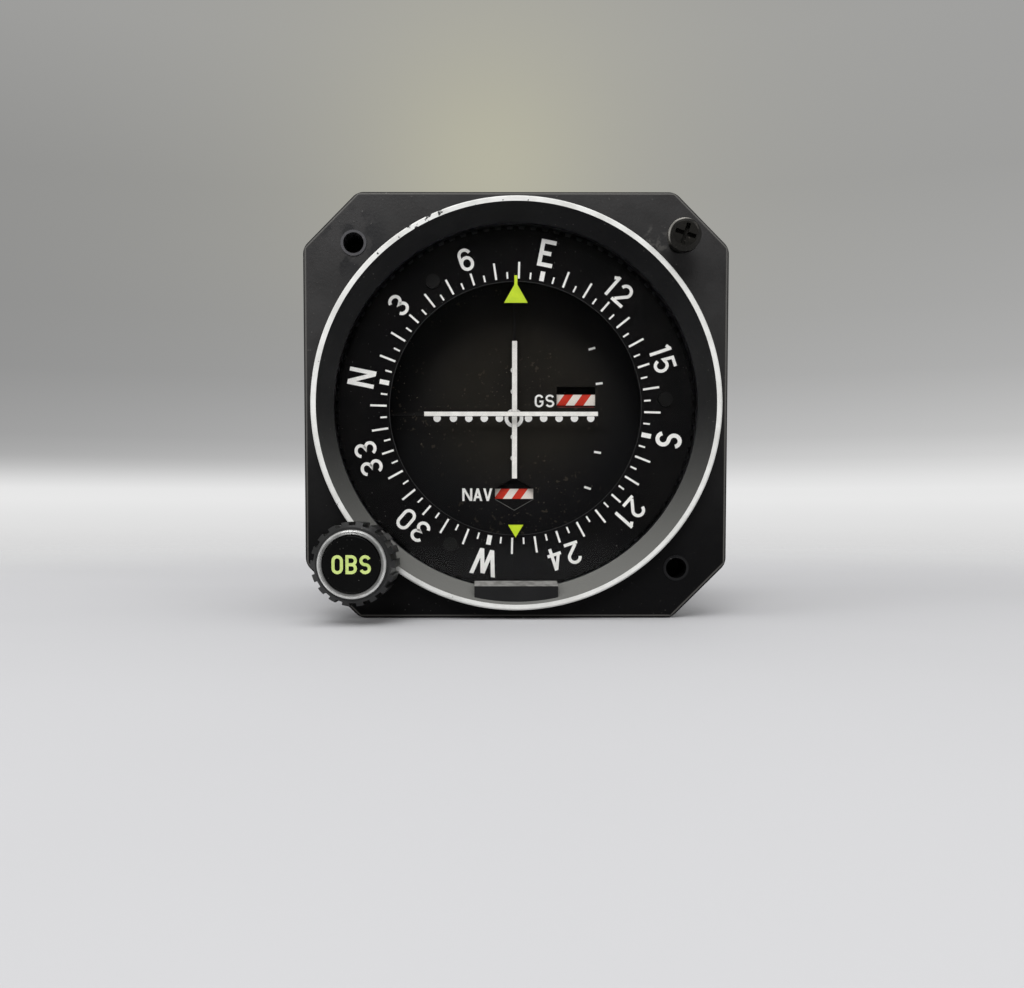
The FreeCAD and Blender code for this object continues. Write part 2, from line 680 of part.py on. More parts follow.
def make_needle(name, across, up, turned, plane, near, far, width):
    """Needle with a thin arm, a hub on its shaft and a balance weight."""
    rear = f"({plane} + needle_thick)"
    needle = new_body(f"{name}_needle", across, up, turned)
    strip, arm, tail = f"{width} / 2", "needle_arm_width / 2", "needle_tail_width / 2"
    taper = f"-({near} + {width})"
    add_pad(needle, plane, rear, outlines=[[
        (f"-{strip}", f"-{far}"), (strip, f"-{far}"), (strip, taper), (arm, f"-{near}"),
        (arm, "0"), (tail, "0"), (tail, "needle_tail"), (f"-{tail}", "needle_tail"),
        (f"-{tail}", "0"), (f"-{arm}", "0"), (f"-{arm}", f"-{near}"), (f"-{strip}", taper)]])
    add_pad(needle, plane, rear, [("needle_hub",)])
    add_pocket(needle, plane, rear, [("needle_shaft_radius + fixing_gap",)])
    shaft_end = f"({PLATE_REAR} + needle_movement_length)"
    tube_front = f"({plane} - shaft_front_reach)"
    turned_part(f"{name}_shaft", [("0", tube_front), ("needle_shaft_radius", tube_front),
                                  ("needle_shaft_radius", shaft_end), ("0", shaft_end)], across, up)
    weight = new_body(f"{name}_counterweight", across, up, turned)
    add_pad(weight, rear, f"{rear} + counterweight_length", outlines=[
        square("counterweight_side", up="counterweight_near + counterweight_side / 2")])
    tube(f"{name}_movement", "needle_movement_radius", "(needle_shaft_radius + shaft_gap)",
         PLATE_REAR, f"({PLATE_REAR} + needle_movement_length)", across, up)


def make_needles():
    make_needle("cdi", "0", PIVOT, "0", CDI_FACE, f"({PIVOT} - cdi_shoulder)",
                f"({PIVOT} + cdi_tip)", "cdi_width")
    make_needle("gs", f"-{PIVOT}", "gs_pivot_up", "-90", GS_FACE, f"({PIVOT} - gs_shoulder)",
                f"({PIVOT} + gs_tip)", "gs_width")


def flag_fittings(name, across, up):
    """Shaft and movement of one warning flag."""
    end = f"({PLATE_REAR} + flag_movement_length)"
    front = f"({FLAG_FACE} - flag_shaft_front)"
    turned_part(f"{name}_flag_shaft", [("0", front), ("flag_shaft_radius", front),
                                       ("flag_shaft_radius", end), ("0", end)], across, up)
    tube(f"{name}_flag_movement", "flag_movement_radius", "(flag_shaft_radius + shaft_gap)",
         PLATE_REAR, end, across, up)


def make_flags():
    """Two vanes that swing behind the windows of the dial."""
    rear = f"({FLAG_FACE} + flag_thick)"
    nav_place = (NAV_PIVOT, NAV_PIVOT_UP)
    inner = f"({NAV_PIVOT} - nav_flag_right)"
    outer = f"({NAV_PIVOT} + nav_flag_left)"
    nav = new_body("nav_flag", *nav_place, "nav_flag_turn")
    add_turning(nav, [(inner, FLAG_FACE), (outer, FLAG_FACE), (outer, rear), (inner, rear)],
                "nav_flag_angle")
    add_pad(nav, FLAG_FACE, rear, outlines=[rectangle(
        "0", "-nav_flag_arm", f"{inner} + nav_flag_arm", "nav_flag_arm")])
    add_pad(nav, FLAG_FACE, rear, [("flag_hub",)])
    add_pocket(nav, FLAG_FACE, rear, [("flag_shaft_radius + fixing_gap",)])
    flag_fittings("nav", *nav_place)
    gs_place = (PIVOT, "gs_flag_pivot_up")
    near = f"-({PIVOT} - gs_flag_right)"
    far = f"-({PIVOT} - gs_flag_left)"
    flag = new_body("gs_flag", *gs_place)
    add_pad(flag, FLAG_FACE, rear, outlines=[[
        ("0", "-gs_flag_arm"), ("0", "gs_flag_arm"), (near, "gs_flag_arm"), (near, "gs_flag_half"),
        (far, "gs_flag_half"), (far, "-gs_flag_half"), (near, "-gs_flag_half"),
        (near, "-gs_flag_arm")]])
    add_pad(flag, FLAG_FACE, rear, [("flag_hub",)])
    add_pocket(flag, FLAG_FACE, rear, [("flag_shaft_radius + fixing_gap",)])
    flag_fittings("gs", *gs_place)


def make_frame():
    """Frame plate, its standoffs and the lamps behind the dial."""
    needle_hole = "needle_shaft_radius + shaft_gap"
    flag_hole = "flag_shaft_radius + shaft_gap"
    add_pad(new_body("front_frame_plate"), "skirt_reach", PLATE_REAR, [
        (f"{CASE_BORE} - plate_gap",), (needle_hole, "0", PIVOT),
        (needle_hole, f"-{PIVOT}", "gs_pivot_up"), (flag_hole, NAV_PIVOT, NAV_PIVOT_UP),
        (flag_hole, PIVOT, "gs_flag_pivot_up")])
    posts = [hexagon("standoff_flats", *around(STANDOFF_CIRCLE, angle)) for angle in STANDOFF_ANGLES]
    add_pad(new_body("frame_standoffs"), PLATE_REAR, "board_front", outlines=posts)
    bores = round_row("standoff_bore", STANDOFF_CIRCLE, STANDOFF_ANGLES)
    add_pad(new_body("cover_standoffs"), BOARD_REAR, "case_rear", bores, posts)
    holder_front = "(skirt_reach - lamp_holder_length)"
    holders = [square("lamp_holder_side", *around(LAMP_CIRCLE, angle)) for angle in LAMP_ANGLES]
    add_pad(new_body("lamp_holders"), holder_front, "skirt_reach", outlines=holders)
    add_pad(new_body("lamps"), f"{holder_front} - lamp_length", holder_front,
            round_row("lamp_radius", LAMP_CIRCLE, LAMP_ANGLES))


def make_board():
    """Circuit board with its chips and capacitors."""
    board = new_body("circuit_board")
    add_pad(board, "board_front", BOARD_REAR, [(f"{CASE_BORE} - board_margin",)])
    chips = new_body("board_chips")
    half, gap = "chip_length", "chip_width / 4"
    places = []
    for low in ("chip_row_up", "-chip_row_down"):
        high = f"({low} + chip_width)"
        places.append(rectangle(f"-{half} - {gap}", low, f"-{gap}", high))
        places.append(rectangle(gap, low, f"{half} + {gap}", high))
    add_pad(chips, BOARD_REAR, f"{BOARD_REAR} + chip_height", outlines=places)
    capacitors = new_body("board_capacitors")
    add_pad(capacitors, BOARD_REAR, f"{BOARD_REAR} + capacitor_height",
            [("capacitor_radius", "capacitor_side", "0"), ("capacitor_radius", "-capacitor_side", "0")])


def connector_outline(grow):
    """Outline of a D shaped connector, made larger by a wall."""
    wide = f"(connector_wide / 2 + {grow})"
    narrow = f"(connector_wide / 2 - connector_slant + {grow})"
    high = f"(connector_high / 2 + {grow})"
    return [(f"-{wide}", high), (f"-{narrow}", f"-{high}"), (narrow, f"-{high}"), (wide, high)]


def make_connector():
    """Rear connector with a slanted shell, bored contacts and jack screws."""
    shell = new_body("connector_shell")
    wide, high = "connector_flange_wide / 2", "connector_flange_high / 2"
    jack = "jack_pitch / 2"
    hole = "(jack_shank + seat_gap)"
    add_pad(shell, COVER_REAR, SHELL_SEAT, [(hole, f"-{jack}", "0"), (hole, jack, "0")],
            [rectangle(f"-{wide}", f"-{high}", wide, high), connector_outline("seat_gap")])
    add_pad(shell, SHELL_SEAT, SHELL_END,
            outlines=[connector_outline("(seat_gap + connector_wall)"), connector_outline("seat_gap")])
    insulator = new_body("connector_insulator")
    add_pad(insulator, "case_rear - insulator_inside", f"{SHELL_END} - gear_air",
            outlines=[connector_outline("0")])
    contacts = []
    for row_up, count in (("contact_row", 13), ("-contact_row", 12)):
        for number in range(count):
            place = f"({number - (count - 1) / 2}) * contact_pitch"
            contacts.append(square("contact_side", place, row_up))
    add_pocket(insulator, f"{SHELL_END} - gear_air - contact_depth", f"{SHELL_END} - gear_air",
               outlines=contacts)
    screws = new_body("jack_screws")
    for side in (f"-{jack}", jack):
        add_pad(screws, SHELL_SEAT, f"{SHELL_SEAT} + jack_length",
                outlines=[hexagon("jack_flats", side)])
        add_pad(screws, "case_rear - jack_grip", SHELL_SEAT, [("jack_shank", side, "0")])


def make_case():
    """Drawn can that butts on the bezel's shoulder, and its rear cover."""
    tube("case", "collar_radius", CASE_BORE, "shoulder_reach", "case_rear")
    cover = new_body("rear_cover")
    corner = f"({COVER_REAR} - cover_bevel)"
    add_turning(cover, [("0", "case_rear"), ("collar_radius", "case_rear"), ("collar_radius", corner),
                        ("collar_radius - cover_bevel", COVER_REAR), ("0", COVER_REAR)])
    hole = "(jack_shank + seat_gap)"
    add_pocket(cover, "case_rear", COVER_REAR,
               [(hole, "-jack_pitch / 2", "0"), (hole, "jack_pitch / 2", "0")]
               + round_row("standoff_bore", STANDOFF_CIRCLE, STANDOFF_ANGLES),
               [connector_outline("connector_wall")])
    screws = new_body("cover_screws")
    add_pad(screws, COVER_REAR, f"{COVER_REAR} + cover_screw_height",
            round_row("cover_screw_head", STANDOFF_CIRCLE, STANDOFF_ANGLES))
    add_pad(screws, "case_rear - cover_screw_grip", COVER_REAR,
            round_row("cover_screw_radius", STANDOFF_CIRCLE, STANDOFF_ANGLES))


def write_parts():
    """Write one file for each sub-part, after all have been looked at."""
    document.recompute()
    for item in document.Objects:
        if "Invalid" in item.State or "Error" in item.State:
            raise ValueError(f"{item.Label} has not been built: {item.State}")
    for body in NODES:
        if body.Shape.isNull() or not body.Shape.isValid():
            raise ValueError(f"{body.Label} is not a sound solid")
    os.makedirs("parts", exist_ok=True)
    for body in NODES:
        body.Shape.exportStep(f"parts/{body.Label}.step")
    print(len(NODES), "sub-parts written")


make_bezel()
make_name_plate()
make_glass()
make_card()
make_knob()
make_mounting_screw()
make_dial()
make_needles()
make_flags()
make_frame()
make_board()
make_connector()
make_case()
write_parts()
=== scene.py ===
import math

import bpy
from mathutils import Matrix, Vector


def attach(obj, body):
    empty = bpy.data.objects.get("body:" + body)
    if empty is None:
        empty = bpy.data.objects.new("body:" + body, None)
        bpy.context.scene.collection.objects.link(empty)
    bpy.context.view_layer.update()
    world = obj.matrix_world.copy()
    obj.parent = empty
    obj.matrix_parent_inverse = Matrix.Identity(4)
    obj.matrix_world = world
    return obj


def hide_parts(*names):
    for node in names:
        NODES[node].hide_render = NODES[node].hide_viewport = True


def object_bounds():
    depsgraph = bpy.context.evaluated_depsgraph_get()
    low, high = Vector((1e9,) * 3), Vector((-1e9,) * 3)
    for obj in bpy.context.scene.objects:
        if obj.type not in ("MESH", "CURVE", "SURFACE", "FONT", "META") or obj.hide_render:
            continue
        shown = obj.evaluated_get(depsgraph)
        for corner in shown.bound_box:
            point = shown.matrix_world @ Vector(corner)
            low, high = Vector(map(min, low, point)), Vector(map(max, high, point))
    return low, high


# Looks of the course deviation indicator. Lengths are in millimetres, and times MM they are in metres.
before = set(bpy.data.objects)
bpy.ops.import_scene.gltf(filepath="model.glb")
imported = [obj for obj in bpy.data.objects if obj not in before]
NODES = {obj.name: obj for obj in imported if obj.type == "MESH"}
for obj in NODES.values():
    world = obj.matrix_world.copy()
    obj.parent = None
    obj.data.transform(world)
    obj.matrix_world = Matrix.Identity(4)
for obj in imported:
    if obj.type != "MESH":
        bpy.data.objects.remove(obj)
CAD_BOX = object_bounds()
MM = 0.001

# Places that part.py gives the solids: depths behind the flange's rear face, or places across and up.
CARD_FACE = 0.0
DIAL_FACE = 10.0
FLAG_FACE = 11.5
CDI_FACE = 8.0
GS_FACE = 6.0
CAP_FACE = -22.1
KNOB_PLACE = (-29.964, -29.964)
HOLE = 31.435
GS_PIVOT = Vector((-30.0, -0.4))
NAV_PIVOT = Vector((22.0, -19.0))

# Degrees of the card that stand under the upper index mark.
COURSE = 78.6

# The floor lies just under the flange, in metres.
FLOOR = CAD_BOX[0][2] - 0.025 * MM


def rgb(red, green, blue):
    """Turn a colour as seen on a screen into a linear one."""
    parts = []
    for part in (red / 255, green / 255, blue / 255):
        parts.append(part / 12.92 if part <= 0.04045 else ((part + 0.055) / 1.055) ** 2.4)
    return (*parts, 1.0)


def feed(tree, socket, value):
    """Link a socket to another one, or set its value."""
    if isinstance(value, bpy.types.NodeSocket):
        tree.links.new(value, socket)
    else:
        socket.default_value = value


class Look:
    """One material: a Principled shader and the nodes that feed it."""

    def __init__(self, name, metallic=0.0, specular=0.5):
        self.material = bpy.data.materials.new(name)
        self.material.use_nodes = True
        self.tree = self.material.node_tree
        self.shader = self.tree.nodes["Principled BSDF"]
        self.shader.inputs["Metallic"].default_value = metallic
        self.shader.inputs["Specular IOR Level"].default_value = specular
        self.place = self.tree.nodes.new("ShaderNodeTexCoord").outputs["Object"]
        self.across, self.deep, self.up = self.split(self.place)

    def put(self, socket, value):
        feed(self.tree, socket, value)

    def split(self, vector):
        """Take a vector apart into across, deep and up."""
        node = self.tree.nodes.new("ShaderNodeSeparateXYZ")
        self.put(node.inputs[0], vector)
        return node.outputs[0], node.outputs[1], node.outputs[2]

    def noise(self, scale, detail=4.0, roughness=0.55, stretch=None):
        """Noise from 0 to 1, finer with scale and along the axes that are stretched."""
        node = self.tree.nodes.new("ShaderNodeTexNoise")
        place = self.place
        if stretch:
            mapping = self.tree.nodes.new("ShaderNodeMapping")
            self.put(mapping.inputs["Vector"], place)
            mapping.inputs["Scale"].default_value = stretch
            place = mapping.outputs[0]
        self.put(node.inputs["Vector"], place)
        node.inputs["Scale"].default_value = scale
        node.inputs["Detail"].default_value = detail
        node.inputs["Roughness"].default_value = roughness
        return node.outputs["Fac"]

    def sum(self, operation, first, second=0.0):
        """Do one step of arithmetic on sockets or numbers."""
        node = self.tree.nodes.new("ShaderNodeMath")
        node.operation = operation
        self.put(node.inputs[0], first)
        self.put(node.inputs[1], second)
        return node.outputs[0]

    def spread(self, value, low, high, first=0.0, last=1.0):
        """Map a value between two limits, softly, to another range."""
        node = self.tree.nodes.new("ShaderNodeMapRange")
        node.interpolation_type = "SMOOTHSTEP"
        self.put(node.inputs[0], value)
        for number, limit in enumerate((low, high, first, last), start=1):
            node.inputs[number].default_value = limit
        return node.outputs[0]

    def between(self, value, low, high, soft, strength=1.0):
        """Mask of the stretch between two lengths, with soft ends."""
        start = self.spread(value, (low - soft) * MM, (low + soft) * MM)
        end = self.spread(value, (high - soft) * MM, (high + soft) * MM, strength, 0.0)
        return self.sum("MULTIPLY", start, end)

    def mix(self, factor, first, second):
        """Blend two colours by a factor."""
        node = self.tree.nodes.new("ShaderNodeMix")
        node.data_type = "RGBA"
        self.put(node.inputs[0], factor)
        self.put(node.inputs[6], first)
        self.put(node.inputs[7], second)
        return node.outputs[2]

    def mottle(self, dark, light, scale, detail=4.0, low=0.3, high=0.7):
        """Two tones of one colour that run into each other in patches."""
        return self.mix(self.spread(self.noise(scale, detail), low, high), dark, light)

    def length(self, first, second):
        """Length of a line that runs this far along two axes."""
        squares = self.sum("ADD", self.sum("MULTIPLY", first, first), self.sum("MULTIPLY", second, second))
        return self.sum("SQRT", squares)

    def distance(self, across, up):
        """Distance in metres from a place on the face."""
        side = self.sum("SUBTRACT", self.across, across * MM)
        rise = self.sum("SUBTRACT", self.up, up * MM)
        return self.length(side, rise)

    def near(self, across, up, close, far, strength=1.0):
        """Mask that fades from a place on the face outwards."""
        return self.spread(self.distance(across, up), close * MM, far * MM, strength, 0.0)

    def colour(self, value):
        self.put(self.shader.inputs["Base Color"], value)

    def rough(self, low, high, scale=140.0):
        """Let the roughness wander between two values."""
        self.put(self.shader.inputs["Roughness"], self.spread(self.noise(scale), 0.3, 0.7, low, high))

    def bump(self, height, distance):
        """Raise the surface by a height, times a distance in metres."""
        node = self.tree.nodes.new("ShaderNodeBump")
        node.inputs["Strength"].default_value = 1.0
        node.inputs["Distance"].default_value = distance
        self.put(node.inputs["Height"], height)
        self.put(self.shader.inputs["Normal"], node.outputs[0])

    def specks(self, base, tone, scale, limit, strength):
        """Sprinkle small spots of dust over a colour, in loose patches."""
        soft = 0.03
        spot = self.spread(self.noise(scale, 1.0, 0.4), limit, limit + soft, 0.0, strength)
        patch = self.spread(self.noise(70.0, 2.0), 0.42, 0.6)
        return self.mix(self.sum("MULTIPLY", spot, patch), base, tone)


def painted(name, dark, light, low, high, grain=1400.0, height=0.00002, specular=0.5):
    """Paint or plastic with slow changes of tone, a fine grain and a roughness from low to high."""
    look = Look(name, specular=specular)
    tone = look.mottle(dark, light, 120.0)
    look.colour(look.specks(tone, rgb(96, 94, 90), 1900.0, 0.72, 0.5))
    look.rough(low, high)
    look.bump(look.noise(grain, 3.0), height)
    return look.material


def metal(name, dark, light, low, high, stretch=(1.0, 1.0, 1.0)):
    """Bare or plated metal with fine tool marks and a roughness from low to high."""
    look = Look(name, metallic=1.0)
    marks = look.noise(900.0, 5.0, 0.6, stretch)
    look.colour(look.mix(look.spread(marks, 0.3, 0.7), dark, light))
    look.rough(low, high)
    look.bump(marks, 0.00001)
    return look.material


def flange_tone(look):
    """Satin black, with painted shade that darkens it towards the foot."""
    tone = look.mottle(rgb(36, 35, 35), rgb(46, 45, 45), 60.0, low=0.35)
    # Painted shade: the colour runs to near black towards the foot.
    return look.mix(look.spread(look.up, -34.0 * MM, 22.0 * MM, 0.96, 0.0), tone, rgb(4, 4, 5))


def hole_wear_and_lip_highlight(look, tone):
    """Dark smear round the upper open hole, a painted highlight on the lip round both (pale at the upper
    left, dim at the lower right), and a rub mark beside the screw.
    """
    smear = look.spread(look.noise(210.0, 4.0, 0.45), 0.5, 0.58, 0.0, 0.8)
    smear = look.sum("MULTIPLY", look.near(-31.4, 31.4, close=4.0, far=9.0), smear)
    tone = look.mix(smear, tone, rgb(17, 17, 20))
    # Painted highlight on the lip round each hole: pale at the upper left, dim at the lower right.
    for side, lip_highlight_tone in ((-HOLE, rgb(70, 69, 72)), (HOLE, rgb(26, 26, 27))):
        lip = look.between(look.distance(side, -side), 2.0, 2.5, soft=0.05)
        tone = look.mix(lip, tone, lip_highlight_tone)
    rub = look.spread(look.noise(520.0, 5.0), 0.5, 0.62, 0.0, 0.5)
    rub = look.sum("MULTIPLY", look.near(27.0, 32.0, close=1.5, far=3.5), rub)
    return look.mix(rub, tone, rgb(96, 94, 90))


def edge_highlight(look, tone):
    """Painted highlight: a pale line inside the flange's outline, along its bevel, and a darker edge
    outside it.
    """
    width = look.sum("ABSOLUTE", look.across)
    height = look.sum("ABSOLUTE", look.up)
    # The offset gives the cut corners the same reach as the sides.
    corner_offset, half_root = 13.57, 0.7071
    slant = look.sum("SUBTRACT", look.sum("ADD", width, height), corner_offset * MM)
    corner = look.sum("MULTIPLY", slant, half_root)
    reach = look.sum("MAXIMUM", look.sum("MAXIMUM", width, height), corner)
    # Painted highlight: a pale line where the bevel would catch the light.
    line = look.between(reach, 40.65, 40.95, soft=0.1, strength=0.5)
    tone = look.mix(line, tone, rgb(112, 110, 106))
    return look.mix(look.spread(reach, 40.95 * MM, 41.1 * MM), tone, rgb(14, 14, 14))


def funnel_tone(look, tone):
    """Wall of the funnel, dark at the top and pale at the foot, where the light falls on it."""
    front = look.spread(look.deep, -3.45 * MM, -3.4 * MM, 1.0, 0.0)
    inner = look.sum("MULTIPLY", look.near(0.0, 0.0, close=38.45, far=38.5), front)
    wall = look.mix(look.spread(look.up, -5.0 * MM, 34.0 * MM), rgb(31, 31, 31), rgb(6, 6, 8))
    foot = look.spread(look.up, -37.0 * MM, 2.0 * MM, 1.0, 0.0)
    return look.mix(inner, tone, look.mix(foot, wall, rgb(104, 104, 101)))


def bezel_look():
    """Satin black enamel, smeared round its holes, with painted shade and highlights: darker towards its
    foot, a pale line on its edge, lips on its holes lit at the upper left, and light and shade on the
    funnel's wall.
    """
    look = Look("satin_enamel")
    gloss = look.spread(look.up, -34.0 * MM, 20.0 * MM, 0.1, 0.3)
    look.put(look.shader.inputs["Specular IOR Level"], gloss)
    tone = flange_tone(look)
    tone = hole_wear_and_lip_highlight(look, tone)
    tone = edge_highlight(look, tone)
    tone = funnel_tone(look, tone)
    look.colour(look.specks(tone, rgb(120, 118, 114), 1700.0, 0.74, 0.35))
    look.rough(0.36, 0.5, 220.0)
    look.bump(look.noise(1700.0, 3.0), 0.000025)
    return look.material


def ring_look():
    """White line round the collar, chipped at the upper left and a little at the top."""
    look = Look("chipped_white")
    tone = look.mottle(rgb(204, 204, 200), rgb(222, 222, 219), 300.0)
    left = look.near(-19.0, 34.5, close=4.0, far=14.0, strength=0.108)
    top = look.near(1.5, 39.0, close=1.0, far=5.0, strength=0.08)
    amount = look.sum("ADD", look.noise(620.0, 4.0, 0.6), look.sum("ADD", left, top))
    look.colour(look.mix(look.spread(amount, 0.685, 0.7), tone, rgb(30, 30, 30)))
    look.rough(0.4, 0.55)
    look.bump(amount, 0.00002)
    return look.material


def dial_look():
    """Brown black dial paint with painted shade: lit brown in the middle, near black towards its edge,
    where the card's hole shades it; with dust on it.
    """
    look = Look("dial_paint", specular=0.12)
    # Painted shade: the middle is lit brown and the edge of the recess near black.
    tone = look.mix(look.near(0.0, 4.0, close=10.0, far=26.0), rgb(6, 6, 8), rgb(27, 24, 18))
    tone = look.mix(look.spread(look.noise(90.0), 0.4, 0.75, 0.0, 0.35), tone, rgb(12, 11, 12))
    tone = look.specks(tone, rgb(84, 76, 62), 1150.0, 0.69, 0.28)
    look.colour(look.specks(tone, rgb(120, 112, 96), 2300.0, 0.72, 0.5))
    look.rough(0.5, 0.7)
    look.bump(look.noise(1500.0), 0.00001)
    return look.material


def striped_look(name, left, low, high, right):
    """Two slanted red stripes on a white band, and black paint beyond the band."""
    pitch, share, slope, end = 3.75, 0.5, 0.72, 7.2
    look = Look(name, specular=0.1)
    lean = look.sum("MULTIPLY", look.sum("SUBTRACT", look.up, low * MM), slope)
    along = look.sum("SUBTRACT", look.sum("SUBTRACT", look.across, lean), left * MM)
    phase = look.sum("FRACT", look.sum("DIVIDE", along, pitch * MM))
    red_part = look.sum("MULTIPLY", look.spread(phase, share, share + 0.015, 1.0, 0.0),
                        look.spread(along, end * MM, (end + 0.05) * MM, 1.0, 0.0))
    white = look.mottle(rgb(232, 222, 212), rgb(244, 236, 226), 200.0)
    red = look.mottle(rgb(190, 46, 32), rgb(212, 60, 42), 240.0)
    soft = 0.015
    inside = look.sum("MULTIPLY", look.between(look.up, low - soft, high + soft, soft),
                      look.spread(look.across, right * MM, (right + 2 * soft) * MM, 1.0, 0.0))
    look.colour(look.mix(inside, rgb(12, 11, 11), look.mix(red_part, white, red)))
    look.rough(0.5, 0.65)
    look.bump(look.noise(1200.0), 0.000008)
    return look.material


def print_look(name, dark, light):
    """Screen printed ink with thin spots and dirt."""
    look = Look(name)
    look.colour(look.mottle(dark, light, 700.0, high=0.72))
    look.rough(0.5, 0.65)
    look.bump(look.noise(1600.0), 0.000008)
    return look.material


def glass_look():
    """Clear flat glass: it reflects at its faces and lets the rest through."""
    look = Look("clear_glass", metallic=1.0)
    look.colour(look.mottle(rgb(246, 248, 248), rgb(255, 255, 255), 40.0))
    look.put(look.shader.inputs["Roughness"], look.spread(look.noise(120.0), 0.4, 0.7, 0.01, 0.06))
    # Reflection grows with the fifth power towards a grazing view.
    facing = look.tree.nodes.new("ShaderNodeLayerWeight").outputs["Facing"]
    shine = look.sum("MULTIPLY", look.sum("POWER", facing, 5.0), 0.9)
    scratch = look.noise(180.0, 6.0, 0.7, (14.0, 1.0, 1.6))
    marks = look.spread(scratch, 0.69, 0.74, 0.006, 0.022)
    look.put(look.shader.inputs["Alpha"], look.sum("ADD", shine, marks))
    return look.material


def bulb_look():
    """Milky glass of the lamps."""
    look = Look("bulb_glass", specular=0.6)
    look.colour(look.mottle(rgb(222, 216, 196), rgb(244, 240, 226), 300.0))
    look.rough(0.05, 0.12)
    return look.material


def trim_look():
    """Bright turned ring, darker inside, with fine lines round the knob's axis."""
    look = Look("turned_trim", metallic=0.75)
    lines_per_metre = 60000.0
    lines = look.sum("SINE", look.sum("MULTIPLY", look.distance(*KNOB_PLACE), lines_per_metre))
    tone = look.mottle(rgb(196, 196, 194), rgb(232, 232, 230), 500.0)
    inside = look.near(*KNOB_PLACE, close=5.6, far=5.9, strength=0.75)
    look.colour(look.mix(inside, tone, rgb(84, 84, 82)))
    look.rough(0.2, 0.34)
    look.bump(lines, 0.000004)
    return look.material


def screw_look():
    """Black oxide with the steel showing where it is rubbed, and a painted highlight on the head's upper
    left rim.
    """
    look = Look("black_oxide", metallic=1.0)
    wear = look.spread(look.noise(420.0, 5.0, 0.6), 0.6, 0.7)
    # Painted highlight: a pale band on the head's rim at its upper left, where light would catch it.
    outside = look.spread(look.distance(HOLE, HOLE), 2.7 * MM, 2.9 * MM)
    upper_left_highlight = look.spread(look.distance(32.0, 30.87), 3.3 * MM, 3.6 * MM, 0.0, 0.8)
    tone = look.mix(wear, rgb(44, 43, 41), rgb(112, 108, 102))
    look.colour(look.mix(look.sum("MULTIPLY", outside, upper_left_highlight), tone, rgb(190, 187, 180)))
    look.rough(0.3, 0.5)
    look.bump(look.noise(900.0), 0.00003)
    return look.material


def wrinkle_look():
    """Fine wrinkle paint on the case."""
    look = Look("wrinkle_paint")
    folds = look.noise(950.0, 5.0, 0.7)
    look.colour(look.mix(look.spread(folds, 0.3, 0.7), rgb(24, 24, 25), rgb(44, 44, 45)))
    look.rough(0.45, 0.62)
    look.bump(folds, 0.00012)
    return look.material


def plate_look():
    """Black plate with a painted highlight on its upper edge, pale as if lit from above."""
    look = Look("plate_enamel", specular=0.25)
    tone = look.mottle(rgb(14, 14, 15), rgb(22, 22, 23), 150.0)
    # Painted highlight: the upper face is pale as if lit from above.
    top_highlight = look.mottle(rgb(104, 103, 100), rgb(140, 139, 136), 800.0, 5.0, 0.35, 0.65)
    look.colour(look.mix(look.spread(look.up, -34.86 * MM, -34.8 * MM), tone, top_highlight))
    look.rough(0.4, 0.5)
    look.bump(look.noise(1200.0), 0.00001)
    return look.material


def board_look():
    """Green solder mask with copper tracks under it."""
    look = Look("solder_mask")
    radians_across, radians_up = 2600.0, 1900.0
    columns = look.sum("SINE", look.sum("MULTIPLY", look.across, radians_across))
    rows = look.sum("SINE", look.sum("MULTIPLY", look.up, radians_up))
    mask = look.spread(look.sum("MULTIPLY", columns, rows), 0.1, 0.2)
    look.colour(look.mix(mask, rgb(24, 84, 42), rgb(44, 118, 62)))
    look.rough(0.3, 0.4)
    look.bump(mask, 0.00003)
    return look.material


def dress(material, *names):
    """Give some of the solids one material."""
    for name in names:
        mesh = NODES[name].data
        mesh.materials.clear()
        mesh.materials.append(material)


def dress_front():
    """Bezel, glass, plate, index marks and the one screw."""
    dress(bezel_look(), "bezel")
    dress(glass_look(), "lens")
    dress(plate_look(), "name_plate")
    dress(print_look("index_paint", rgb(176, 202, 0), rgb(190, 212, 6)), "index_marks")
    dress(screw_look(), "mounting_screw")


def dress_dial():
    """Dial, card, needles and flags."""
    dress(dial_look(), "dial_plate")
    dress(painted("card_paint", rgb(8, 8, 9), rgb(13, 12, 12), 0.62, 0.78, height=0.000004, specular=0.05),
          "compass_card")
    dress(painted("screw_enamel", rgb(6, 6, 6), rgb(16, 16, 15), 0.4, 0.55, specular=0.12), "card_screws")
    dress(painted("needle_black", rgb(15, 14, 13), rgb(24, 22, 21), 0.5, 0.6, specular=0.1),
          "cdi_needle", "gs_needle")
    dress(striped_look("level_flag_paint", left=8.87, low=1.88, high=4.12, right=17.42), "gs_flag")
    dress(striped_look("round_flag_paint", left=-4.25, low=-17.62, high=-15.55, right=5.0), "nav_flag")


def dress_knob():
    """Knob and the cap in its middle."""
    dress(painted("knob_mould", rgb(14, 14, 14), rgb(27, 27, 27), 0.32, 0.46, 900.0, 0.00006), "obs_knob")
    dress(painted("cap_enamel", rgb(4, 4, 4), rgb(8, 8, 8), 0.2, 0.28, 1500.0, 0.000005, 0.1), "knob_cap")


def dress_black_parts():
    """Gears, frame and mouldings behind the dial."""
    # Near black paint on these parts: partly their own colour and partly painted shade, where they show
    # behind the card's rim and through the windows.
    dress(painted("gear_black", rgb(12, 12, 12), rgb(18, 18, 18), 0.6, 0.75, specular=0.1),
          "front_frame_plate", "card_gear", "card_drum", "obs_pinion")
    dress(painted("moulded_black", rgb(24, 24, 25), rgb(36, 36, 37), 0.5, 0.62),
          "cdi_movement", "gs_movement", "nav_flag_movement", "gs_flag_movement", "board_chips",
          "connector_insulator")


